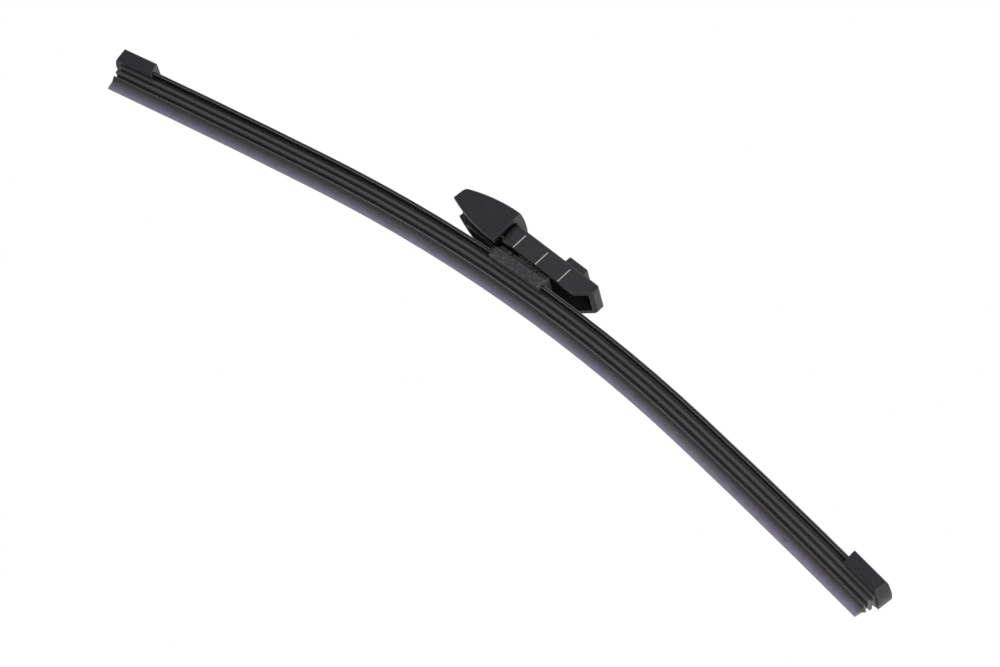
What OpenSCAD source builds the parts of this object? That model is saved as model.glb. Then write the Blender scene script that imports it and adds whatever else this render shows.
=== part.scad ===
// Rear flat wiper blade with a push-button arm connector
//
// The origin is the middle of the cross pin that the blade rocks on. +X runs along the
// connector's tongue, the way the wiper arm comes off, +Z points away from the glass and
// Y runs across the blade. Lengths are millimetres, angles degrees.
// Heights named "level" are measured from the edge of the wiping lip.

/* [Blade] */
// Length of the rubber, measured along the rails
rubber_length = 330; // [300:5:380]
// Radius of the beam's middle stretch while the blade is off the glass
centre_radius = 592; // [480:1:800]
// Half length of the middle stretch
centre_half = 81; // [60:1:100]
// Radius of the flatter stretch on each side of the middle
flank_radius = 3140; // [1500:10:5000]
// How far the middle of the rubber lies to the right of the pin
blade_offset = 1.6; // [0:0.1:4]
// Height of the pin above the edge of the lip
pin_level = 17.3; // [17.1:0.1:18.7]
// Tilt of the blade against its connector at rest
rest_tilt = 2.5; // [0:0.5:4]

/* [Rubber profile] */
// Height of the wiping lip, from its edge to its shoulder
lip_height = 3.85; // [3.5:0.05:4.3]
// Thickness of the lip at its edge
lip_edge = 0.7; // [0.5:0.05:1.0]
// Thickness of the lip where it starts to flare
lip_root = 1.15; // [1.1:0.05:1.6]
// Height above the edge at which the lip starts to flare
lip_flare = 2.0; // [1.5:0.1:2.4]
// Width across the lip's shoulder
shoulder_width = 4.2; // [3.6:0.1:5.0]
// Height of the shoulder's outer face
shoulder_face = 0.3; // [0.2:0.05:0.4]
// Thickness of the neck that the lip tilts on
neck_width = 1.0; // [0.8:0.1:1.6]
// Height of the neck
neck_height = 1.1; // [0.9:0.05:1.3]
// Height of each of the two ribs
rib_height = 1.15; // [1.0:0.05:1.3]
// Width across the lower rib
lower_rib_width = 5.4; // [4.8:0.1:5.6]
// Width across the upper rib
upper_rib_width = 6.2; // [5.6:0.1:6.4]
// Radius of the ribs' outer corners
rib_corner = 0.35; // [0.2:0.05:0.45]
// Height of the groove between the ribs
groove_height = 0.9; // [0.7:0.05:1.1]
// Width of the rubber inside that groove
groove_core = 2.6; // [2.0:0.1:3.2]
// Height of the step between the upper rib and the rails
step_height = 1.2; // [1.1:0.05:1.5]
// Width of that step
step_width = 3.6; // [3.0:0.1:4.4]
// Height of the head that holds the rails from above
head_height = 0.75; // [0.6:0.05:1.0]
// Width of the head
head_width = 5.2; // [4.6:0.1:5.6]
// Thickness of the web between the two rails
web_width = 1.8; // [1.4:0.1:2.4]

/* [Spring rails] */
// Width of each rail
rail_width = 3.4; // [3.0:0.1:3.8]
// Thickness of each rail
rail_thickness = 0.95; // [0.8:0.05:1.1]
// Distance from each end of the rubber to the rails' ends
rail_setback = 1.8; // [1.5:0.1:3.0]
// Radius of the rails' corners
rail_corner = 0.9; // [0.5:0.1:1.4]
// Width of the retaining notches in the rails' outer edges
notch_width = 3; // [2:0.5:4]
// Depth of the retaining notches
notch_depth = 0.5; // [0.3:0.1:0.8]
// Distance from the rubber's end to the end cap's notch
notch_setback = 8; // [6:0.5:10]
// Gap between a rail and the rubber or plastic around it
rail_play = 0.04; // [0.02:0.01:0.1]

/* [End caps] */
// Length of each cap's side along its lower edge
cap_length = 14.0; // [12:0.2:18]
// Width across each cap
cap_width = 11; // [10.8:0.1:12.5]
// Level of the cap's top
cap_top = 13.2; // [12.7:0.1:13.8]
// Level of the cap's lower edge
cap_bottom = 8.1; // [7.9:0.1:8.5]
// Level of the fold where the side starts to slope in
cap_fold = 9.3; // [8.9:0.1:9.5]
// How far the lower edge lies inside the side face
cap_tuck = 0.6; // [0.4:0.1:0.8]
// Bulge of the domed end
cap_dome = 1.4; // [1.2:0.1:2.4]
// Radius of the cap's top edges
cap_corner = 1.0; // [0.6:0.1:1.2]
// How far the left cap's sides reach past the end of the rubber
left_cap_reach = 0.9; // [0:0.1:1.6]
// How far the right cap's sides reach past the end of the rubber
right_cap_reach = 0; // [0:0.1:1.6]
// How far the left cap's top ends short of its lower edge
left_cap_lean = 1.3; // [-2:0.1:2.5]
// How far the right cap's top ends short of its lower edge
right_cap_lean = -0.9; // [-2:0.1:2.5]

/* [Base bracket] */
// Length of the claws along the beam
claw_length = 21; // [20:0.5:24]
// Thickness of the claws outside the rails
claw_wall = 1.2; // [0.9:0.1:1.3]
// Thickness of the hooks under the rails
claw_hook = 1.25; // [1.1:0.05:1.3]
// How far the hooks reach in under the rails
hook_reach = 1.0; // [0.8:0.1:1.1]
// Thickness of the plate over the rubber's head
plate_height = 0.9; // [0.7:0.1:1.0]
// Width of the bevels along the claws' outer edges
claw_bevel = 0.5; // [0.3:0.1:0.7]
// Width of the raised pivot block
block_width = 6.6; // [6.0:0.1:7.0]
// Length of the pivot block at its foot
block_length = 10.4; // [9:0.2:12]
// Radius of the ear around the pin
ear_radius = 3.1; // [2.9:0.1:3.3]
// Room around the ear inside the connector
ear_room = 0.25; // [0.15:0.05:0.3]
// Distance from the pin back to the middle of the claws
claw_back = 0.9; // [0:0.1:1.5]
// Height of the ledges beside the pivot block
ledge_height = 1.3; // [0.5:0.1:1.3]
// Width across both ledges
ledge_width = 8; // [7.4:0.1:8.2]
// Distance from the pin to the ledges' end on the right
ledge_end = 9.4; // [8.6:0.1:9.5]
// Distance from the pin back to the left gap in each ledge
left_gap = 6.0; // [5.6:0.1:6.4]
// Distance from the pin to the right gap in each ledge
right_gap = 4.7; // [4.3:0.1:5.2]
// Width of those gaps
ledge_gap = 0.9; // [0.5:0.1:1.2]

/* [Cross pin] */
// Diameter of the steel pin
pin_diameter = 4; // [3.6:0.1:4.2]
// Length of the pin
pin_length = 10; // [9.6:0.1:10.2]
// Size of the bevel round the pin's ends
pin_bevel = 0.4; // [0.2:0.1:0.6]
// Radial clearance of the pin in the connector
pin_play = 0.05; // [0.02:0.01:0.1]
// Width of the snap mouth under each pin socket
snap_mouth = 3.4; // [3:0.1:3.6]

/* [Connector] */
// Width of the tongue
tongue_width = 11.6; // [11.2:0.1:12.4]
// Distance from the pin to the free end of the tongue
tongue_reach = 25.2; // [24:0.2:28]
// Distance from the pin back to the tongue's shoulder
tongue_back = 11.3; // [11:0.1:12]
// How far that shoulder leans back on its way up
tongue_lean = 0.8; // [0.4:0.1:0.9]
// Height of the tongue's top above the pin
tongue_top = 4.3; // [4.2:0.1:4.8]
// Depth of the tongue's lower edge below the pin
tongue_drop = 3.0; // [2.8:0.1:3.2]
// Thickness of the tongue's walls
tongue_wall = 1.5; // [1.3:0.1:1.6]
// Thickness of the end wall
nose_wall = 1.2; // [1.0:0.1:1.8]
// Length of the bevel under the free end
nose_bevel = 4.8; // [3:0.1:5]
// Height of that bevel
nose_bevel_height = 4.2; // [3:0.1:4.5]
// Radius of the free end's upright edges
nose_corner = 1.2; // [0.8:0.1:1.4]
// Radius of the tongue's upper edges
tongue_corner = 0.8; // [0.5:0.1:1.0]
// Distance between two crush ribs
crush_pitch = 10.05; // [9.5:0.05:10.5]
// Distance from the pin back to the first crush rib
crush_first = 6.5; // [6:0.1:7]
// Width of a crush rib
crush_width = 0.5; // [0.3:0.05:0.7]
// Height of a crush rib
crush_height = 0.22; // [0.1:0.02:0.3]
// Length of the slot that takes the end of the arm's channel
arm_slot_length = 3.6; // [3:0.1:4.5]
// Gap for the wall of the arm's channel
arm_slot_gap = 1.2; // [1.0:0.05:1.3]
// Depth of the neck's lower edge below the pin
neck_drop = 1.6; // [1.2:0.1:1.6]
// Radius of the bosses around the pin
boss_radius = 3.0; // [2.8:0.1:3.0]
// Side gap between the bosses and the pivot block
boss_gap = 0.15; // [0.1:0.05:0.3]

/* [Hood] */
// Thickness of the hood's walls
hood_wall = 1.2; // [1.0:0.1:1.4]
// Distance from the pin back to the lower corner of the hood's mouth
hood_mouth = 11.8; // [11.6:0.1:12.4]
// Depth of that corner below the pin
hood_mouth_drop = 5.9; // [5.6:0.1:6.4]
// Lean of the mouth, from its lower corner to its top
hood_mouth_lean = 0.8; // [0.6:0.1:1.2]
// Height of the hood's ridge above the pin at the mouth
hood_mouth_top = 7.7; // [7.4:0.1:8.4]
// Rise of the ridge above the hood's side edges at the mouth
hood_crown = 1.0; // [0.8:0.1:1.2]
// Slope of the ridge at the mouth
hood_slope = -1; // [-2:0.5:3]
// Radius that the ridge curves down with towards the far end
hood_ridge_radius = 65; // [60:5:120]
// Distance from the pin back to the hood's far end
hood_reach = 35; // [32:0.5:38]
// Width across the far end
hood_end_width = 11.6; // [11:0.1:12.4]
// Depth of the far end's lower corner below the pin
hood_end_drop = 1.6; // [1.2:0.1:2.2]
// Lean of the far end, from its lower corner to its top
hood_end_lean = 0.3; // [0.2:0.1:1]
// How far the sides' lower edge bows down between its ends
hood_belly = 1.0; // [0.4:0.1:1.2]
// Radius of the far end's top corner
hood_end_corner = 3.0; // [2.4:0.1:3.2]
// Gap between the tongue's top and the lip of the hood's mouth
hood_lip_gap = 0.2; // [0.15:0.05:0.4]
// Length of that lip
hood_lip = 1.6; // [1.2:0.1:2]
// Height of the sloped corners inside the mouth
mouth_shoulder = 1.9; // [1.6:0.1:2.2]
// Width of those corners
mouth_shoulder_width = 1.4; // [1.2:0.1:1.5]
// Radius of the edges along the hood's top
hood_corner = 0.8; // [0.6:0.1:1.2]
// Slope of the hood's top next to those edges
hood_shoulder_slope = 25; // [22:1:30]
// Length of the block that the hood is snapped onto
seat_length = 15; // [12:0.5:17]
// Radius of the snap studs
stud_radius = 1.2; // [0.8:0.1:1.5]
// Height of the snap studs
stud_height = 0.5; // [0.3:0.05:0.6]
// Gap between the hood and its block
hood_play = 0.05; // [0.02:0.01:0.1]

/* [Release button] */
// Distance from the pin to the foot of the button's slanted side
button_start = 9.0; // [8.8:0.1:10]
// Length of the button at its foot
button_length = 8.1; // [7:0.1:8.4]
// Width of the button and of its spring tab
button_width = 8; // [7.2:0.1:8.2]
// Height of the button above the tongue
button_height = 2.6; // [2:0.1:2.8]
// How far the slanted side leans in over its height
button_slant = 0.15; // [0:0.05:1]
// Radius of the button's top edges
button_corner = 0.5; // [0.3:0.1:0.8]
// Distance from the pin to the line that the spring tab bends on
tab_root = 5.5; // [5:0.1:6]
// Distance from the pin to the tab's free end
tab_end = 19.2; // [18.5:0.1:20]
// Thickness of the spring tab at its root
tab_thickness = 0.9; // [0.8:0.05:1.0]
// Gap around the tab and the button
tab_gap = 0.15; // [0.1:0.05:0.3]
// Gap at the bending line
root_gap = 0.05; // [0.03:0.01:0.08]

/* [Hidden] */
$fn = 64;
beam_fn = 360;
overcut = 1;
// Angle that a stretch of the beam runs on past the middle before it is cut there
overturn = 1;
// Overlap that makes two shapes one where they would only touch
join = 0.02;

// Levels of the rubber's profile, one on top of the other
shoulder_level = lip_height + shoulder_face;
lower_rib_level = shoulder_level + neck_height;
groove_level = lower_rib_level + rib_height;
upper_rib_level = groove_level + groove_height;
step_level = upper_rib_level + rib_height;
slot_level = step_level + step_height;
slot_height = rail_thickness + 2 * rail_play;
head_level = slot_level + slot_height;
head_top_level = head_level + head_height;
rail_level = slot_level + rail_play;
rail_mid = slot_level + slot_height / 2;
rail_inner = web_width / 2 + rail_play;
rail_outer = rail_inner + rail_width;

// The beam's line runs through the middle of the rails, measured from the middle of the rubber
centre_angle = centre_half / centre_radius * 180 / PI;
bend_point = centre_radius * [sin(centre_angle), cos(centre_angle) - 1];

// The claws' place along the beam
base_station = -blade_offset - claw_back;
plate_level = head_top_level + rail_play;
plate_top_level = plate_level + plate_height;
block_foot = plate_top_level - plate_height / 2 - pin_level;
claw_outer = rail_outer + rail_play + claw_wall;
hook_level = rail_level - rail_play - claw_hook;
hook_inner = rail_outer - hook_reach;

// The connector, measured from the pin
tongue_half = tongue_width / 2;
tongue_inner = tongue_half - tongue_wall;
tongue_ceiling = tongue_top - tongue_wall;
tongue_start = -tongue_back - tongue_lean - overcut;
neck_half = tongue_half - arm_slot_gap;
neck_top = tongue_top - arm_slot_gap / 2;
arm_stop = -tongue_back - arm_slot_length;
seat_end = arm_stop - seat_length;
socket_length = pin_length + 2 * boss_gap;

// The hood's half widths, the angle that its sides close in by and the slope of its ridge
hood_mouth_half = tongue_half + arm_slot_gap + hood_wall;
hood_end_half = hood_end_width / 2;
hood_length = hood_reach - hood_mouth;
hood_taper = atan((hood_mouth_half - hood_end_half) / hood_length);
hood_run = hood_length - hood_mouth_lean - hood_end_lean;
hood_run_turn = hood_run / hood_ridge_radius * 180 / PI;
hood_end_top = hood_mouth_top - hood_run * tan(hood_slope + hood_run_turn / 2);
hood_end_angle = atan(hood_end_lean / (hood_end_top + hood_end_drop));
mouth_half_top = hood_mouth_half - hood_mouth_lean * tan(hood_taper);
hood_ceiling_mouth = tongue_top + hood_lip_gap;
hood_ceiling_depth = hood_crown + hood_wall;
mouth_ridge = [-hood_mouth - hood_mouth_lean, hood_mouth_top];
mouth_corner = [-hood_mouth, -hood_mouth_drop];
hood_tip = [-hood_reach, -hood_end_drop];
ridge_centre = mouth_ridge + hood_ridge_radius * [sin(hood_slope), -cos(hood_slope)];
hood_deep = 12;
corner_break = 15;
corner_steps = 6;
edge_steps = 8;
ridge_steps = 6;
// How far the side view's upper lines run on past the ridge
tail = 2;
mouth_overrun = 1.2;
stud_x = (arm_stop + seat_end) / 2;

// The spring tab
barrel_radius = tab_thickness / 2;
tab_axis = tongue_top - tongue_wall / 2;
button_top = tongue_top + button_height;
button_end = button_start + button_length;

// Slope of the beam and point of its line at a distance s along it
function flank_turn(s) = (abs(s) - centre_half) / flank_radius * 180 / PI;
function beam_angle(s) = abs(s) <= centre_half
    ? s / centre_radius * 180 / PI
    : sign(s) * (centre_angle + flank_turn(s));
function beam_point(s) = abs(s) <= centre_half
    ? centre_radius * [sin(beam_angle(s)), cos(beam_angle(s)) - 1]
    : let (a = abs(beam_angle(s)),
           p = bend_point + flank_radius * [sin(a) - sin(centre_angle), cos(a) - cos(centre_angle)])
      [sign(s) * p[0], p[1]];

// Both halves of a profile, given the right half from bottom to top
function both_halves(half) = concat(half, [for (i = [len(half) - 1:-1:0]) [-half[i][0], half[i][1]]]);

// The rounded outer end of a rib that reaches to y between two levels
function rib_nose(y, low, high) = concat(
    [for (a = [-90:22.5:0]) [y - rib_corner + rib_corner * cos(a), low + rib_corner + rib_corner * sin(a)]],
    [for (a = [0:22.5:90]) [y - rib_corner + rib_corner * cos(a), high - rib_corner + rib_corner * sin(a)]]);

// The lip's flank, curving out from the thin blade to the shoulder
function lip_flank(steps) = [for (i = [0:steps])
    let (t = i / steps)
    [lip_root / 2 + (shoulder_width - lip_root) / 2 * t * t, lip_flare + (lip_height - lip_flare) * t]];

// Puts things on the beam, with their own origin at the level of the lip's edge
module on_beam(s) {
    p = beam_point(s);
    translate([blade_offset + p[0], 0, rail_mid - pin_level + p[1]])
        rotate([0, beam_angle(s), 0])
            translate([0, 0, -rail_mid])
                children();
}

// A bent stretch that starts at its own origin, for a profile drawn as [across, level]
module bent_stretch(radius, angle)
    translate([0, 0, -radius])
        rotate([0, -90, -90])
            rotate_extrude(angle = angle, $fn = beam_fn)
                translate([radius, 0])
                    mirror([1, -1, 0])
                        translate([0, -rail_mid])
                            children();

// A stretch of the beam's middle part, around a place on it
module middle_stretch(s, length)
    on_beam(s)
        translate([0, 0, rail_mid]) {
            bent_stretch(centre_radius, length / 2 / centre_radius * 180 / PI)
                children();
            mirror([1, 0, 0])
                bent_stretch(centre_radius, length / 2 / centre_radius * 180 / PI)
                    children();
        }

// The right half of the beam; both of its stretches start where they meet
module half_beam(half_length)
    difference() {
        translate([bend_point[0], 0, bend_point[1]])
            rotate([0, centre_angle, 0]) {
                bent_stretch(flank_radius, flank_turn(half_length))
                    children();
                mirror([1, 0, 0])
                    bent_stretch(centre_radius, centre_angle + overturn)
                        children();
            }
        translate([-half_length, -half_length / 2, -half_length / 2])
            cube([half_length, half_length, half_length]);
    }

// The whole beam, as two mirrored halves
module whole_beam(half_length)
    translate([blade_offset, 0, rail_mid - pin_level])
        for (side = [0, 1])
            mirror([side, 0, 0])
                half_beam(half_length)
                    children();

// The blade and everything clamped to it, tilted on the pin as it rests
module blade_side() rotate([0, -rest_tilt, 0]) children();

module rubber_profile() {
    half = concat(
        [[lip_edge / 2, 0]],
        lip_flank(6),
        [[shoulder_width / 2, shoulder_level - shoulder_face / 3],
         [shoulder_width / 2 - shoulder_face / 2, shoulder_level],
         [neck_width / 2, shoulder_level],
         [neck_width / 2, lower_rib_level]],
        rib_nose(lower_rib_width / 2, lower_rib_level, groove_level),
        [[groove_core / 2, groove_level],
         [groove_core / 2, upper_rib_level]],
        rib_nose(upper_rib_width / 2, upper_rib_level, step_level),
        [[step_width / 2, step_level],
         [step_width / 2, slot_level],
         [web_width / 2, slot_level],
         [web_width / 2, head_level],
         [head_width / 2, head_level],
         [head_width / 2, head_top_level - rib_corner],
         [head_width / 2 - rib_corner, head_top_level]]);
    polygon(both_halves(half));
}

// The squeegee: lip, tilting neck, two ribs and the head that holds the rails
module wiper_rubber()
    color("#333238")
        blade_side()
            whole_beam(rubber_length / 2)
                rubber_profile();

// The flat shape that trims a rail's end to rounded corners
module rail_end_trim() {
    reach = rail_corner + overcut;
    difference() {
        translate([-rail_corner, rail_outer - rail_corner, -overcut])
            cube([reach, reach, slot_height + 2 * overcut]);
        translate([-rail_corner, rail_outer - rail_corner, -2 * overcut])
            cylinder(r = rail_corner, h = slot_height + 4 * overcut);
    }
}

// One of the two spring-steel rails, on the side that side gives
module spring_rail(side)
    color("#17171a")
        blade_side()
            difference() {
                whole_beam(rubber_length / 2 - rail_setback)
                    translate([side > 0 ? rail_inner : -rail_outer, rail_level])
                        square([rail_width, rail_thickness]);
                for (end = [-1, 1]) {
                    on_beam(end * (rubber_length / 2 - rail_setback))
                        translate([0, 0, slot_level])
                            scale([end, side, 1])
                                rail_end_trim();
                    on_beam(end * (rubber_length / 2 - notch_setback))
                        rail_notch(side);
                }
                on_beam(base_station)
                    rail_notch(side);
            }

// A square notch through a rail's outer edge
module rail_notch(side)
    translate([-notch_width / 2, side > 0 ? rail_outer - notch_depth : -rail_outer - overcut, slot_level - overcut])
        cube([notch_width, notch_depth + overcut, slot_height + 2 * overcut]);

// A tooth that fills such a notch, leaving the rail's play around it
module notch_tooth(side)
    translate([-notch_width / 2 + rail_play,
               side > 0 ? rail_outer - notch_depth + rail_play : -rail_outer - 2 * rail_play,
               slot_level])
        cube([notch_width - 2 * rail_play, notch_depth + rail_play, slot_height]);

// Outer shape of a cap, from its side view, its end view and its plan
module cap_form(lean) {
    half = cap_width / 2;
    intersection() {
        rotate([90, 0, 0])
            translate([0, 0, -half])
                linear_extrude(cap_width)
                    polygon([[-cap_length, cap_bottom], [cap_dome + overcut, cap_bottom],
                             [cap_dome + overcut, cap_top], [lean - cap_length, cap_top]]);
        rotate([90, 0, 90])
            translate([0, 0, -2 * cap_length])
                linear_extrude(3 * cap_length)
                    cap_end_view(half);
        translate([0, 0, cap_bottom - overcut])
            linear_extrude(cap_top - cap_bottom + 2 * overcut)
                cap_plan(half);
    }
}

module cap_end_view(half) {
    polygon(both_halves([[half - cap_tuck, cap_bottom], [half, cap_fold], [half, cap_top - cap_corner],
                         [half - cap_corner, cap_top]]));
    for (side = [-1, 1])
        translate([side * (half - cap_corner), cap_top - cap_corner])
            circle(r = cap_corner);
}

module cap_plan(half) {
    dome_radius = (half * half + cap_dome * cap_dome) / (2 * cap_dome);
    translate([-2 * cap_length, -half])
        square([2 * cap_length, cap_width]);
    intersection() {
        translate([cap_dome - dome_radius, 0])
            circle(r = dome_radius, $fn = 128);
        translate([-overcut, -half])
            square([cap_dome + 2 * overcut, cap_width]);
    }
}

// What a cap leaves free for the rubber and for the ends of the rails
module cap_hollow(reach) {
    play = 2 * rail_play;
    start = -2 * cap_length;
    rubber_room = play - reach - start;
    translate([start, 0, 0]) {
        translate([0, -upper_rib_width / 2 - play, cap_bottom - overcut])
            cube([rubber_room, upper_rib_width + 2 * play, slot_level - cap_bottom + overcut]);
        translate([0, -head_width / 2 - play, slot_level - play])
            cube([rubber_room, head_width + 2 * play, head_top_level - slot_level + 2 * play]);
        translate([0, -rail_outer - rail_play, slot_level])
            cube([rubber_room - rail_setback, 2 * (rail_outer + rail_play), slot_height]);
    }
}

// A cap pushed over one end of the rubber and rails, held by two teeth in the rails' notches
module end_cap(side, reach, lean)
    color("#26262b")
        blade_side() {
            on_beam(side * (rubber_length / 2 + reach))
                mirror([side > 0 ? 0 : 1, 0, 0])
                    difference() {
                        cap_form(lean);
                        cap_hollow(reach);
                    }
            on_beam(side * (rubber_length / 2 - notch_setback))
                for (tooth = [-1, 1])
                    notch_tooth(tooth);
        }

// Cross-section of the bracket: a plate with a claw round each rail
module claw_profile() {
    difference() {
        polygon(both_halves([
            [claw_outer - claw_bevel, hook_level],
            [claw_outer, hook_level + claw_bevel],
            [claw_outer, plate_top_level - claw_bevel],
            [claw_outer - claw_bevel, plate_top_level]]));
        polygon(both_halves([
            [hook_inner, hook_level - overcut],
            [hook_inner, slot_level],
            [rail_outer + rail_play, slot_level],
            [rail_outer + rail_play, head_level],
            [head_width / 2 + rail_play, head_level],
            [head_width / 2 + rail_play, plate_level]]));
    }
}

// The clamp on the rails, with the ear that the cross pin goes through
module base_bracket()
    color("#46464b")
        blade_side() {
            difference() {
                union() {
                    middle_stretch(base_station, claw_length)
                        claw_profile();
                    pivot_block();
                    ledges();
                }
                rotate([90, 0, 0])
                    cylinder(d = pin_diameter, h = block_width + 2 * overcut, center = true);
            }
            on_beam(base_station)
                for (side = [-1, 1])
                    notch_tooth(side);
        }

// The raised middle of the bracket, a round ear on a wider foot
module pivot_block()
    rotate([90, 0, 0])
        translate([0, 0, -block_width / 2])
            linear_extrude(block_width) {
                circle(r = ear_radius);
                polygon([[-block_length / 2, block_foot], [block_length / 2, block_foot],
                         [block_length / 2, block_foot + plate_height], [ear_radius, 0],
                         [-ear_radius, 0], [-block_length / 2, block_foot + plate_height]]);
            }

// Low ledges on the plate, one on each side of the block, each with two gaps
module ledges() {
    ledge_top = plate_top_level + ledge_height - pin_level;
    difference() {
        translate([claw_bevel - claw_length / 2 - claw_back, -ledge_width / 2, block_foot])
            cube([claw_length / 2 + claw_back - claw_bevel + ledge_end, ledge_width, ledge_top - block_foot]);
        for (gap = [-left_gap, right_gap], side = [-1, 1])
            translate([gap - ledge_gap / 2,
                       side > 0 ? block_width / 2 : -block_width / 2 - overcut,
                       plate_top_level - pin_level])
                cube([ledge_gap, overcut, ledge_height + overcut]);
    }
}

// Steel pin, pressed into the bracket's ear and turning in the connector
module pivot_pin()
    color("#b9bcc0")
        blade_side()
            rotate([90, 0, 0])
                rotate_extrude()
                    polygon([[0, -pin_length / 2], [pin_diameter / 2 - pin_bevel, -pin_length / 2],
                             [pin_diameter / 2, pin_bevel - pin_length / 2],
                             [pin_diameter / 2, pin_length / 2 - pin_bevel],
                             [pin_diameter / 2 - pin_bevel, pin_length / 2], [0, pin_length / 2]]);

// Side view of the tongue's outside
module tongue_side_view()
    polygon([[-tongue_back, -tongue_drop], [tongue_reach - nose_bevel, -tongue_drop],
             [tongue_reach, nose_bevel_height - tongue_drop], [tongue_reach, tongue_top - tongue_corner],
             [tongue_reach - tongue_corner, tongue_top], [-tongue_back - tongue_lean, tongue_top]]);

// End view of the tongue's outside, with its rounded upper edges
module tongue_end_view() {
    translate([-tongue_half, -tongue_drop])
        square([tongue_width, tongue_drop + tongue_top - tongue_corner]);
    translate([tongue_corner - tongue_half, -tongue_drop])
        square([tongue_width - 2 * tongue_corner, tongue_drop + tongue_top]);
    for (side = [-1, 1])
        translate([side * (tongue_half - tongue_corner), tongue_top - tongue_corner])
            circle(r = tongue_corner);
}

// Plan of the tongue's outside, with its rounded free end
module tongue_plan() {
    translate([tongue_start, -tongue_half])
        square([tongue_reach - nose_corner - tongue_start, tongue_width]);
    translate([tongue_start, nose_corner - tongue_half])
        square([tongue_reach - tongue_start, tongue_width - 2 * nose_corner]);
    for (side = [-1, 1])
        translate([tongue_reach - nose_corner, side * (tongue_half - nose_corner)])
            circle(r = nose_corner);
}

module tongue_form()
    intersection() {
        rotate([90, 0, 0])
            translate([0, 0, -tongue_half])
                linear_extrude(tongue_width)
                    tongue_side_view();
        rotate([90, 0, 90])
            translate([0, 0, tongue_start])
                linear_extrude(tongue_reach - tongue_start)
                    tongue_end_view();
        translate([0, 0, -tongue_drop - overcut])
            linear_extrude(tongue_drop + tongue_top + 2 * overcut)
                tongue_plan();
    }

// Thin raised ribs that take up the play inside the arm's channel
module crush_ribs()
    for (i = [0:2], side = [-1, 1])
        translate([i * crush_pitch - crush_first, side * (tongue_half - crush_height), -tongue_drop])
            rotate([0, 0, side > 0 ? 0 : 180])
                linear_extrude(tongue_top + tongue_drop - 2 * tongue_corner)
                    polygon([[-crush_width, 0], [crush_width, 0],
                             [crush_width / 4, 2 * crush_height], [-crush_width / 4, 2 * crush_height]]);

// The moulded tongue, its neck and the block that carries the hood
module connector_body()
    color("#37373a")
        difference() {
            union() {
                difference() {
                    union() {
                        tongue_form();
                        crush_ribs();
                    }
                    tongue_hollow();
                }
                slot_neck();
                hood_seat();
                pin_bosses();
            }
            pin_sockets();
            ear_pocket();
            button_window();
        }

// The round pocket that the bracket's ear turns in
module ear_pocket()
    rotate([90, 0, 0])
        cylinder(r = ear_radius + ear_room, h = block_width + 2 * boss_gap, center = true);

// The hollow underside of the tongue
module tongue_hollow()
    translate([tongue_start, -tongue_inner, -tongue_drop - overcut])
        cube([tongue_reach - nose_wall - tongue_start, 2 * tongue_inner,
              tongue_drop + overcut + tongue_ceiling]);

// The narrow neck beside which the end of the arm's channel goes
module slot_neck()
    difference() {
        translate([arm_stop - tongue_wall, -neck_half, -neck_drop])
            cube([arm_slot_length + 2 * tongue_wall, 2 * neck_half, neck_drop + neck_top]);
        translate([arm_stop - tongue_wall - overcut, tongue_wall - neck_half, -tongue_drop - overcut])
            cube([arm_slot_length + 2 * tongue_wall + 2 * overcut, 2 * (neck_half - tongue_wall),
                  tongue_drop + overcut + neck_top - tongue_wall]);
    }

// The block that fills the hood and stops the arm, hollow from below
module hood_seat() {
    difference() {
        intersection() {
            hood_hollow(hood_play);
            translate([seat_end, -hood_mouth_half, -tongue_drop])
                cube([seat_length, 2 * hood_mouth_half, tongue_drop + hood_mouth_top]);
        }
        translate([seat_end - overcut, tongue_wall - neck_half, -tongue_drop - overcut])
            cube([seat_length + 2 * overcut, 2 * (neck_half - tongue_wall),
                  tongue_drop + overcut + neck_top - tongue_wall]);
    }
    snap_studs(stud_radius, stud_height);
}

// Round studs that snap into the hood's sides
module snap_studs(radius, height)
    for (side = [-1, 1])
        translate([stud_x, side * (hollow_half(stud_x) - overcut / 2 + height / 2), 0])
            rotate([90, 0, 0])
                cylinder(r = radius, h = overcut + height, center = true);

module pin_bosses()
    for (side = [-1, 1])
        translate([0, side * (tongue_inner + block_width / 2 + boss_gap) / 2, 0])
            rotate([90, 0, 0])
                linear_extrude(tongue_inner - block_width / 2 - boss_gap + 2 * join, center = true) {
                    circle(r = boss_radius);
                    translate([-boss_radius, 0])
                        square([2 * boss_radius, tongue_ceiling + join]);
                }

// Blind sockets for the pin, open downwards so that the connector snaps on
module pin_sockets()
    rotate([90, 0, 0]) {
        cylinder(r = pin_diameter / 2 + pin_play, h = socket_length, center = true);
        translate([0, -tongue_drop, 0])
            cube([snap_mouth, 2 * tongue_drop, socket_length], center = true);
    }

// The window in the tongue's top, with the round groove that the tab bends in
module button_window() {
    width = button_width + 2 * tab_gap;
    translate([tab_root, -width / 2, tongue_ceiling - overcut])
        cube([tab_end - tab_root + tab_gap, width, tongue_wall + 2 * overcut]);
    translate([tab_root, 0, tab_axis])
        rotate([90, 0, 0])
            cylinder(r = barrel_radius + root_gap, h = width, center = true);
}

// Half width of the hood's hollow at a distance along the connector
function hollow_half(x) = hood_mouth_half - hood_wall + (x + hood_mouth) * tan(hood_taper);

// Point at a depth below the ridge, a turn back from the mouth
function ridge_point(depth, turn) =
    ridge_centre + (hood_ridge_radius - depth) * [-sin(hood_slope + turn), cos(hood_slope + turn)];

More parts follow.
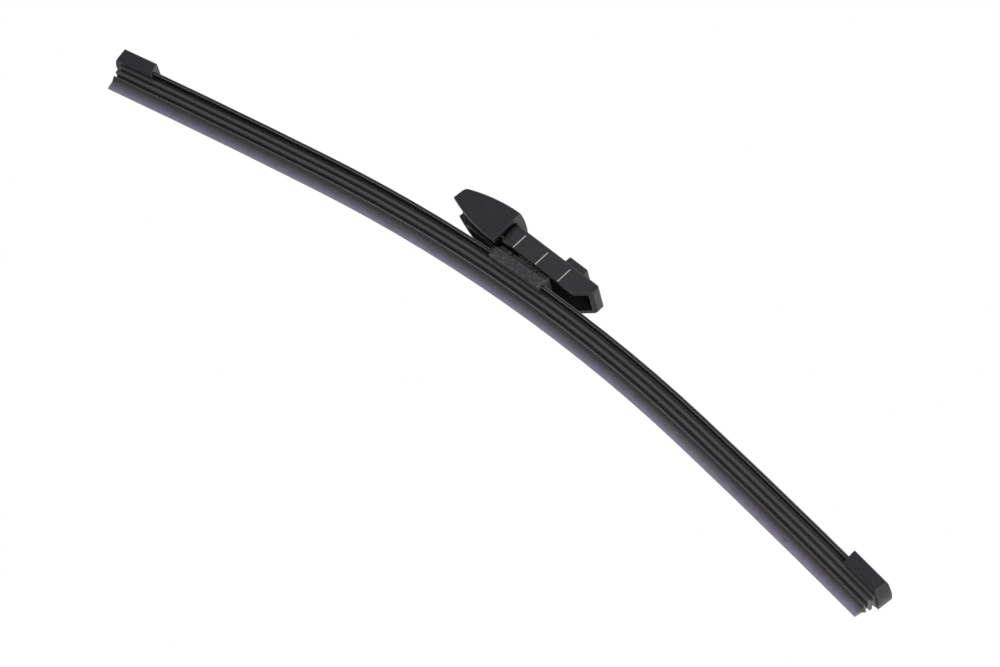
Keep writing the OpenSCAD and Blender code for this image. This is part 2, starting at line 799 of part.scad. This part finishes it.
// The hood's hollow, closed in by a play, open below and at both ends
module hood_hollow(play) {
    near = -hood_mouth + overcut;
    far = -hood_reach - overcut;
    lip_end = mouth_ridge[0] - hood_lip;
    slant = [mouth_shoulder_width, -mouth_shoulder];
    corner = [hollow_half(-hood_mouth) - play, hood_ceiling_mouth - mouth_shoulder];
    intersection() {
        translate([0, 0, -hood_deep])
            linear_extrude(2 * hood_deep)
                polygon([[far, play - hollow_half(far)], [near, play - hollow_half(near)],
                         [near, hollow_half(near) - play], [far, hollow_half(far) - play]]);
        rotate([90, 0, 0])
            translate([0, 0, -hood_mouth_half])
                linear_extrude(2 * hood_mouth_half)
                    polygon(concat(
                        [[far, -hood_deep], [near, -hood_deep],
                         [near, hood_ceiling_mouth - play], [lip_end, hood_ceiling_mouth - play]],
                        [for (i = [1:ridge_steps])
                            ridge_point(hood_ceiling_depth + play, i / ridge_steps * hood_run_turn)],
                        [[far, ridge_point(hood_ceiling_depth + play, hood_run_turn)[1] - overcut]]));
        rotate([90, 0, 90])
            translate([0, 0, far])
                linear_extrude(near - far)
                    polygon(both_halves([corner + slant - [0, hood_deep], corner + slant, corner - 2 * slant]));
    }
}

// Side view of the hood, open above its ridge
module hood_side_view() {
    corner = [hood_tip[0] + hood_end_lean + hood_end_corner, hood_end_top - hood_end_corner];
    first = 180 - hood_end_angle;
    last = 90 + hood_slope + hood_run_turn + corner_break;
    polygon(concat(
        [for (i = [0:edge_steps])
            let (t = i / edge_steps)
            mouth_corner + t * (hood_tip - mouth_corner) - [0, 4 * hood_belly * t * (1 - t)]],
        [for (i = [0:corner_steps])
            let (a = first + (last - first) * i / corner_steps)
            corner + hood_end_corner * [cos(a), sin(a)]],
        [corner + hood_end_corner * [cos(last), sin(last)] + tail * [sin(last), -cos(last)] * hood_end_corner,
         mouth_corner + mouth_overrun * (mouth_ridge - mouth_corner)]));
}

// The ridge's arch, seen from the mouth
module hood_arch() {
    radius = (hood_mouth_half * hood_mouth_half + hood_crown * hood_crown) / (2 * hood_crown);
    intersection() {
        translate([0, -radius])
            circle(r = radius, $fn = beam_fn);
        translate([-hood_deep, -2 * hood_deep])
            square([2 * hood_deep, 2 * hood_deep + overcut]);
    }
}

// Runs a view seen from the mouth along the ridge's curve, both ways from the mouth's top
module along_ridge()
    for (way = [0, 1])
        mirror([way, 0, 0])
            translate([0, 0, -hood_ridge_radius])
                rotate([0, -90, -90])
                    rotate_extrude(angle = 2 * hood_run_turn, $fn = beam_fn)
                        translate([hood_ridge_radius, 0])
                            mirror([1, -1, 0])
                                children();

module hood_arch_run()
    translate([mouth_ridge[0], 0, mouth_ridge[1]])
        rotate([0, -hood_slope, 0])
            along_ridge()
                hood_arch();

// One flank with its rounded top edge, seen from the mouth; the sharp edge would be at 0, 0
module hood_flank_view() {
    drop = hood_corner / tan(45 + hood_shoulder_slope / 2);
    turn = hood_corner * [sin(hood_shoulder_slope) - 1, cos(hood_shoulder_slope)] - [0, drop];
    polygon([[0, -2 * hood_deep], [0, -drop], turn,
             [-2 * hood_deep, turn[1] + (turn[0] + 2 * hood_deep) * tan(hood_shoulder_slope)],
             [-2 * hood_deep, -2 * hood_deep]]);
    translate([-hood_corner, -drop])
        circle(r = hood_corner);
}

// One flank, turned so that it follows the hood's narrowing side
module hood_flank()
    translate([mouth_ridge[0], mouth_half_top, mouth_ridge[1] - hood_crown])
        rotate([0, -hood_slope, hood_taper])
            along_ridge()
                hood_flank_view();

// The cover behind the tongue, an arched shell that narrows towards its far end
module connector_hood()
    color("#2b2b33")
        difference() {
            intersection() {
                rotate([90, 0, 0])
                    translate([0, 0, -hood_mouth_half])
                        linear_extrude(2 * hood_mouth_half)
                            hood_side_view();
                hood_arch_run();
                hood_flank();
                mirror([0, 1, 0])
                    hood_flank();
            }
            hood_hollow(0);
            snap_studs(stud_radius + hood_play, stud_height + hood_play);
        }

// Side view of the spring tab with the button on it
module tab_side_view()
    polygon([[tab_root, tab_axis - barrel_radius], [tab_end, tab_axis - barrel_radius],
             [tab_end, tongue_top], [button_end, tongue_top], [button_end, button_top - button_corner],
             [button_end - button_corner, button_top], [button_start + button_slant, button_top],
             [button_start, tongue_top], [tab_root + 2 * barrel_radius, tongue_top],
             [tab_root + barrel_radius, tab_axis + barrel_radius], [tab_root, tab_axis + barrel_radius]]);

// End view of the tab with the button's rounded top edges
module tab_end_view() {
    half = button_width / 2;
    translate([-half, 0])
        square([button_width, button_top - button_corner]);
    translate([button_corner - half, 0])
        square([button_width - 2 * button_corner, button_top]);
    for (side = [-1, 1])
        translate([side * (half - button_corner), button_top - button_corner])
            circle(r = button_corner);
}

// The push button on its spring tab
module release_button()
    color("#333336") {
        intersection() {
            rotate([90, 0, 0])
                translate([0, 0, -button_width / 2])
                    linear_extrude(button_width)
                        tab_side_view();
            rotate([90, 0, 90])
                linear_extrude(tab_end + overcut)
                    tab_end_view();
        }
        translate([tab_root, 0, tab_axis])
            rotate([90, 0, 0])
                cylinder(r = barrel_radius, h = button_width, center = true);
    }

wiper_rubber();
spring_rail(-1);  // spring_rail_front
spring_rail(1);  // spring_rail_rear
end_cap(-1, left_cap_reach, left_cap_lean);  // end_cap_left
end_cap(1, right_cap_reach, right_cap_lean);  // end_cap_right
base_bracket();
pivot_pin();
connector_body();
connector_hood();
release_button();
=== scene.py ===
import math

import bpy
from mathutils import Matrix, Vector

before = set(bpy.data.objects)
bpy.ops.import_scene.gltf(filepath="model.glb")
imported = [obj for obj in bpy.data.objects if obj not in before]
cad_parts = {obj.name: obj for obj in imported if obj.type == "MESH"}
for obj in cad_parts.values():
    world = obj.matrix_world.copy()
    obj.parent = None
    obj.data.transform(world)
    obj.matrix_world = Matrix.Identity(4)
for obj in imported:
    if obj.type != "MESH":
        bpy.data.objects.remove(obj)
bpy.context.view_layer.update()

# Squeegee: one strip of black EPDM, extruded through a die and cut to length. The lip below the
# tilting neck is dipped in graphite powder, which leaves it paler and slightly mottled, while the
# ribs keep the even sheen of the bare rubber. The colour by height is partly that powder and partly
# painted light: painted shade on the flare under the shoulder and in the groove above it, and a
# painted highlight along the shoulder's edge. The lengths are the beam's own, in mm.
MM = 1000
REST_TILT = math.radians(2.5)
BLADE_OFFSET = 1.6
PIN_LEVEL = 17.3
BEND_X = 80.75
MIDDLE_RADIUS = 589.2
BEND_SLOPE = math.tan(math.radians(7.84))
FLANK_RADIUS = 3055.0
PROFILE_SPAN = 12.0
POWDER_FADES, POWDER_ENDS = 1.5, 3.0
LIP_TOP, NECK_START = 3.4, 4.4


def linear(code, alpha=1.0):
    channels = [int(code[i:i + 2], 16) / 255 for i in (1, 3, 5)]
    return [c / 12.92 if c <= 0.04045 else ((c + 0.055) / 1.055) ** 2.4 for c in channels] + [alpha]


def add(tree, kind, settings=None, links=None):
    made = tree.nodes.new(kind)
    for key, value in (settings or {}).items():
        if key in made.inputs.keys() or isinstance(key, int):
            made.inputs[key].default_value = value
        else:
            setattr(made, key, value)
    for key, source in (links or {}).items():
        tree.links.new(source, made.inputs[key])
    return made


def new_material(name):
    material = bpy.data.materials.new(name)
    material.use_nodes = True
    material.node_tree.nodes.clear()
    return material, material.node_tree


def ramp(tree, source, stops):
    made = add(tree, "ShaderNodeValToRGB", links={"Fac": source})
    elements = made.color_ramp.elements
    while len(elements) < len(stops):
        elements.new(0.5)
    for element, (position, colour) in zip(elements, stops):
        element.position = position
        element.color = linear(colour)
    return made.outputs["Color"]


def surface(tree, shader):
    add(tree, "ShaderNodeOutputMaterial", links={"Surface": shader.outputs[0]})


def dress(node_name, material):
    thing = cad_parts[node_name]
    thing.data.materials.clear()
    thing.data.materials.append(material)
    return thing


def extruded_epdm():
    material, tree = new_material("extruded_EPDM_graphite_lip_painted_shade")
    place = add(tree, "ShaderNodeTexCoord").outputs["Object"]
    turned = add(tree, "ShaderNodeMapping", {"Rotation": (0, REST_TILT, 0), "Scale": (MM, MM, MM)},
                 {"Vector": place}).outputs["Vector"]
    split = add(tree, "ShaderNodeSeparateXYZ", links={"Vector": turned})

    def calc(operation, first, second=None):
        made = add(tree, "ShaderNodeMath", {"operation": operation})
        for socket, value in zip(made.inputs, (first, second)):
            if isinstance(value, (int, float)):
                socket.default_value = value
            elif value is not None:
                tree.links.new(value, socket)
        return made.outputs[0]

    # Height above the lip's edge: the blade's own height plus how far the beam has dropped there
    along = calc("ABSOLUTE", calc("SUBTRACT", split.outputs["X"], BLADE_OFFSET))
    middle = calc("MINIMUM", along, BEND_X)
    beyond = calc("MAXIMUM", calc("SUBTRACT", along, BEND_X), 0.0)
    drop = calc("ADD", calc("DIVIDE", calc("MULTIPLY", middle, middle), 2 * MIDDLE_RADIUS),
                calc("ADD", calc("MULTIPLY", beyond, BEND_SLOPE),
                     calc("DIVIDE", calc("MULTIPLY", beyond, beyond), 2 * FLANK_RADIUS)))
    level = calc("ADD", calc("ADD", split.outputs["Z"], PIN_LEVEL), drop)

    mottle = add(tree, "ShaderNodeTexNoise", {"Scale": 0.35, "Detail": 4.0, "Roughness": 0.6},
                 {"Vector": turned})
    powdered = add(tree, "ShaderNodeMapRange", {"From Min": POWDER_FADES, "From Max": POWDER_ENDS,
                                                "To Min": 1.4, "To Max": 0.0}, {"Value": level})
    wobble = calc("MULTIPLY", calc("SUBTRACT", mottle.outputs["Fac"], 0.5), powdered.outputs["Result"])
    share = calc("DIVIDE", calc("ADD", level, wobble), PROFILE_SPAN)
    # Colour by height: graphite-pale lip, then painted shade under the shoulder, a painted highlight
    # along its edge and painted shade in the groove above.
    coat = ramp(tree, share, [(0.0, "#878499"), (0.06, "#7b788c"), (0.125, "#646271"),
                              (0.19, "#55525a"), (0.25, "#302e33"), (0.305, "#29282b"),
                              (0.322, "#6c6a6f"), (0.34, "#605e63"), (0.36, "#3a393d"),
                              (0.45, "#454447")])
    sheen = add(tree, "ShaderNodeMapRange", {"From Min": LIP_TOP, "From Max": NECK_START,
                                             "To Min": 0.58, "To Max": 0.36}, {"Value": level})
    grit = add(tree, "ShaderNodeTexNoise", {"Scale": 2.2, "Detail": 3.0}, {"Vector": turned})
    tint = add(tree, "ShaderNodeHueSaturation", {"Saturation": 1.0},
               {"Color": coat, "Value": calc("ADD", calc("MULTIPLY", grit.outputs["Fac"], 0.3), 0.85)})
    bump = add(tree, "ShaderNodeBump", {"Strength": 0.12, "Distance": 0.00005},
               {"Height": grit.outputs["Fac"]})
    shader = add(tree, "ShaderNodeBsdfPrincipled", {"IOR": 1.5},
                 {"Base Color": tint.outputs["Color"], "Roughness": sheen.outputs["Result"],
                  "Normal": bump.outputs["Normal"]})
    surface(tree, shader)
    return material


dress("wiper_rubber", extruded_epdm())


# Two flat rails of hardened spring steel strip, stamped to length and bent, then blackened with a
# thin electrocoat. They lie loose in the rubber's slots and give the blade its curve. Their edges
# are painted paler as a highlight, a few tenths of a millimetre deep.
# Painted highlight: every edge, hollow corners too, is coloured pale to the given depth.
def painted_edge_highlight(tree, colour, edge_highlight, reach):
    rim = add(tree, "ShaderNodeAmbientOcclusion", {"samples": 8, "inside": True, "only_local": True,
                                                   "Distance": reach})
    share = add(tree, "ShaderNodeMapRange", {"From Min": 0.5, "From Max": 0.9,
                                             "To Min": 1.0, "To Max": 0.0},
                {"Value": rim.outputs["AO"]})
    mixed = add(tree, "ShaderNodeMix", {"data_type": "RGBA"}, {"Factor": share.outputs["Result"]})
    tree.links.new(colour, mixed.inputs[6])
    mixed.inputs[7].default_value = linear(edge_highlight)
    return mixed.outputs[2]


def blackened_strip():
    material, tree = new_material("spring_steel_black_electrocoat")
    place = add(tree, "ShaderNodeTexCoord").outputs["Object"]
    streaks = add(tree, "ShaderNodeMapping", {"Scale": (60, 900, 900)}, {"Vector": place})
    grain = add(tree, "ShaderNodeTexNoise", {"Scale": 3.0, "Detail": 3.0},
                {"Vector": streaks.outputs["Vector"]})
    coat = ramp(tree, grain.outputs["Fac"], [(0.3, "#0d0d0f"), (0.7, "#19191b")])
    # Rail edges painted pale as a highlight.
    colour = painted_edge_highlight(tree, coat, "#a2a3a6", 0.0002)
    bump = add(tree, "ShaderNodeBump", {"Strength": 0.1, "Distance": 0.00003},
               {"Height": grain.outputs["Fac"]})
    shader = add(tree, "ShaderNodeBsdfPrincipled", {"Roughness": 0.38, "IOR": 1.5},
                 {"Base Color": colour, "Normal": bump.outputs["Normal"]})
    surface(tree, shader)
    return material


black_strip = blackened_strip()
dress("spring_rail_front", black_strip)
dress("spring_rail_rear", black_strip)


# End caps: black polypropylene, injection moulded with a fine spark-eroded grain, pushed over the
# ends of the rubber and rails. Their outer edges are rounded by a few tenths of a millimetre.
def moulded_plastic(name, dark, light, edge_highlight, roughness, grain, edge, mottle, added_highlight=None):
    material, tree = new_material(name)
    place = add(tree, "ShaderNodeTexCoord").outputs["Object"]
    fine = add(tree, "ShaderNodeTexNoise", {"Scale": MM / grain, "Detail": 3.0, "Roughness": 0.55},
               {"Vector": place})
    broad = add(tree, "ShaderNodeTexNoise", {"Scale": 90.0, "Detail": 2.0}, {"Vector": place})
    # Mottle a millimetre across, coarser than the mould's own grain, so that it shows from here
    cloud = add(tree, "ShaderNodeTexNoise", {"Scale": 900.0, "Detail": 2.0}, {"Vector": place})
    depth = add(tree, "ShaderNodeMapRange", {"From Min": 0.3, "From Max": 0.7,
                                             "To Min": 1 - mottle, "To Max": 1 + mottle},
                {"Value": cloud.outputs["Fac"]})
    body = add(tree, "ShaderNodeHueSaturation", links={
        "Color": ramp(tree, broad.outputs["Fac"], [(0.3, dark), (0.7, light)]),
        "Value": depth.outputs["Result"]})
    # Edges painted pale as a highlight.
    colour = painted_edge_highlight(tree, body.outputs["Color"], edge_highlight, edge)
    if added_highlight:
        colour = added_highlight(tree, place, colour)
    worn = add(tree, "ShaderNodeMapRange", {"From Min": 0.3, "From Max": 0.7,
                                            "To Min": roughness - 0.05, "To Max": roughness + 0.05},
               {"Value": fine.outputs["Fac"]})
    rounded = add(tree, "ShaderNodeBevel", {"samples": 6, "Radius": edge})
    bump = add(tree, "ShaderNodeBump", {"Strength": 0.2, "Distance": 0.00004},
               {"Height": fine.outputs["Fac"], "Normal": rounded.outputs["Normal"]})
    shader = add(tree, "ShaderNodeBsdfPrincipled", {"IOR": 1.49},
                 {"Base Color": colour, "Roughness": worn.outputs["Result"],
                  "Normal": bump.outputs["Normal"]})
    surface(tree, shader)
    return material


cap_plastic = moulded_plastic("moulded_polypropylene_fine_grain", "#1b1b21", "#212129", "#4a4a53",
                              0.45, 0.35, 0.00025, 0.25)
dress("end_cap_left", cap_plastic)
dress("end_cap_right", cap_plastic)


# Clamp bracket: glass-filled nylon, moulded round its claws. The glass gives it a slightly paler,
# duller skin than the other plastics.
dress("base_bracket", moulded_plastic("glass_filled_nylon", "#38383a", "#424244", "#6a6a6c",
                                      0.5, 0.3, 0.0002, 0.5))


# Cross pin: a plain steel dowel, ground round and pressed into the bracket's ear.
def ground_steel():
    material, tree = new_material("ground_steel_dowel")
    place = add(tree, "ShaderNodeTexCoord").outputs["Object"]
    rings = add(tree, "ShaderNodeMapping", {"Scale": (400, 6000, 400)}, {"Vector": place})
    lines = add(tree, "ShaderNodeTexNoise", {"Scale": 1.0, "Detail": 2.0},
                {"Vector": rings.outputs["Vector"]})
    colour = ramp(tree, lines.outputs["Fac"], [(0.3, "#9a9da1"), (0.7, "#b4b7ba")])
    bump = add(tree, "ShaderNodeBump", {"Strength": 0.15, "Distance": 0.00002},
               {"Height": lines.outputs["Fac"]})
    shader = add(tree, "ShaderNodeBsdfPrincipled", {"Metallic": 1.0, "Roughness": 0.28},
                 {"Base Color": colour, "Normal": bump.outputs["Normal"]})
    surface(tree, shader)
    return material


dress("pivot_pin", ground_steel())


# Connector: black acetal, moulded as one hollow tongue with its neck and the block for the hood.
# Acetal comes out of the mould with a smooth, faintly waxy skin. The crests of the crush ribs, which
# stand proud of the tongue's sides, are painted pale as a highlight.
TONGUE_HALF = 0.0058
RIB_RISE = 0.00022
CREST_HIGHLIGHT = "#b4b4b6"


# Painted highlight: the crush ribs' crests, beyond the tongue's side plane, are coloured pale.
def painted_crest_highlight(tree, place, colour):
    across = add(tree, "ShaderNodeMath", {"operation": "ABSOLUTE"}, {
        0: add(tree, "ShaderNodeSeparateXYZ", links={"Vector": place}).outputs["Y"]})
    proud = add(tree, "ShaderNodeMath", {"operation": "GREATER_THAN", 1: TONGUE_HALF + RIB_RISE / 2},
                {0: across.outputs[0]})
    mixed = add(tree, "ShaderNodeMix", {"data_type": "RGBA"}, {"Factor": proud.outputs[0]})
    tree.links.new(colour, mixed.inputs[6])
    mixed.inputs[7].default_value = linear(CREST_HIGHLIGHT)
    return mixed.outputs[2]


dress("connector_body", moulded_plastic("moulded_acetal_crush_ribs", "#212122", "#272728", "#58585a",
                                        0.4, 0.3, 0.0002, 0.3, painted_crest_highlight))


# Hood: black ABS cover, snapped over the connector's block, with a fine even grain and a colder
# black than the connector's own.
dress("connector_hood", moulded_plastic("moulded_ABS_cold_black", "#16161c", "#1c1c23", "#55555c",
                                        0.42, 0.35, 0.00025, 0.25))


# Release button: the same acetal as the connector, on a thin spring tab.
dress("release_button", moulded_plastic("moulded_acetal", "#222223", "#282829", "#5f5f61",
                                        0.4, 0.3, 0.0002, 0.3))


# Studio floor: matt white paper well below the held blade.
FLOOR_Z = -1.0
FLOOR_SIZE = 12


def pale_floor():
    bpy.ops.mesh.primitive_plane_add(size=FLOOR_SIZE, location=(0, 0, FLOOR_Z))
    floor = bpy.context.object
    floor.name = "studio_floor"
    material, tree = new_material("matt_white_paper")
    fibre = add(tree, "ShaderNodeTexNoise", {"Scale": 40.0, "Detail": 2.0})
    colour = ramp(tree, fibre.outputs["Fac"], [(0.3, "#f2f2f2"), (0.7, "#f6f6f6")])
    shader = add(tree, "ShaderNodeBsdfPrincipled", {"Roughness": 0.9}, {"Base Color": colour})
    surface(tree, shader)
    floor.data.materials.append(material)


pale_floor()


# Surround: white as the camera sees it and in the gloss behind the blade, dimmer for the light that
# falls on the side towards the camera.
ROOM_FRONT = 0.22
ROOM_BACK = 0.8
GLOSS_FRONT = 0.3
world = bpy.data.worlds.new("white_studio")
bpy.context.scene.world = world
world.use_nodes = True
room = world.node_tree
room.nodes.clear()
path = add(room, "ShaderNodeLightPath")
looking = add(room, "ShaderNodeTexCoord").outputs["Generated"]
direction = add(room, "ShaderNodeSeparateXYZ", links={"Vector": looking})
diffuse = add(room, "ShaderNodeMapRange", {
    "interpolation_type": "SMOOTHSTEP", "From Min": -1.0, "From Max": 1.0,
    "To Min": ROOM_FRONT, "To Max": ROOM_BACK}, {"Value": direction.outputs["Y"]})
mirrored = add(room, "ShaderNodeMapRange", {
    "interpolation_type": "SMOOTHSTEP", "From Min": -0.6, "From Max": 0.6,
    "To Min": GLOSS_FRONT, "To Max": 1.0}, {"Value": direction.outputs["Y"]})
for_gloss = add(room, "ShaderNodeMix", {}, {"Factor": path.outputs["Is Glossy Ray"]})
room.links.new(diffuse.outputs["Result"], for_gloss.inputs[2])
room.links.new(mirrored.outputs["Result"], for_gloss.inputs[3])
seen = add(room, "ShaderNodeMath", {"operation": "MAXIMUM"})
room.links.new(path.outputs["Is Camera Ray"], seen.inputs[0])
room.links.new(path.outputs["Is Transmission Ray"], seen.inputs[1])
strength = add(room, "ShaderNodeMix", {}, {"Factor": seen.outputs[0]})
room.links.new(for_gloss.outputs[0], strength.inputs[2])
strength.inputs[3].default_value = 1.0
backdrop = add(room, "ShaderNodeBackground", {"Color": (1, 1, 1, 1)}, {"Strength": strength.outputs[0]})
add(room, "ShaderNodeOutputWorld", links={"Surface": backdrop.outputs[0]})


# Lamps: two round softboxes aimed at the blade, the larger dose of light from its right end.
def soft_lamp(name, direction, distance, size, power, colour):
    lamp = bpy.data.lights.new(name, "AREA")
    lamp.shape = "DISK"
    lamp.size = size
    lamp.energy = power
    lamp.color = linear(colour)[:3]
    holder = bpy.data.objects.new(name, lamp)
    bpy.context.collection.objects.link(holder)
    holder.location = Vector(direction).normalized() * distance
    holder.rotation_euler = holder.location.to_track_quat("Z", "Y").to_euler()
    return holder


soft_lamp("key_softbox", (0.9, -0.4, -0.25), 1.0, 0.7, 8.5, "#fff8f0")
soft_lamp("fill_softbox", (-0.5, -0.8, 0.6), 1.6, 1.2, 3, "#e8ecff")


# Camera: where the photograph was taken from, found from the blade's own measured points.
CAMERA_AZIMUTH = math.radians(30.945)
CAMERA_ELEVATION = math.radians(-16.787)
CAMERA_ROLL = math.radians(47.635)
CAMERA_DISTANCE = 1.6932
CAMERA_AIM = Vector((0.005249, 0.007993, -0.023310))
CAMERA_LENS = 194.92

towards = Vector((math.sin(CAMERA_AZIMUTH) * math.cos(CAMERA_ELEVATION),
                  -math.cos(CAMERA_AZIMUTH) * math.cos(CAMERA_ELEVATION),
                  math.sin(CAMERA_ELEVATION)))
level_right = Vector((math.cos(CAMERA_AZIMUTH), math.sin(CAMERA_AZIMUTH), 0))
level_up = towards.cross(level_right)
right = level_right * math.cos(CAMERA_ROLL) + level_up * math.sin(CAMERA_ROLL)
up = level_up * math.cos(CAMERA_ROLL) - level_right * math.sin(CAMERA_ROLL)
camera = bpy.data.objects.new("photo_camera", bpy.data.cameras.new("photo_camera"))
bpy.context.collection.objects.link(camera)
camera.data.lens = CAMERA_LENS
camera.data.sensor_width = 36
camera.data.clip_start = 0.05
camera.data.clip_end = 50
camera.matrix_world = (Matrix.Translation(CAMERA_AIM + towards * CAMERA_DISTANCE)
                       @ Matrix((right, up, towards)).transposed().to_4x4())
bpy.context.scene.camera = camera
bpy.context.scene.view_settings.view_transform = "Standard"
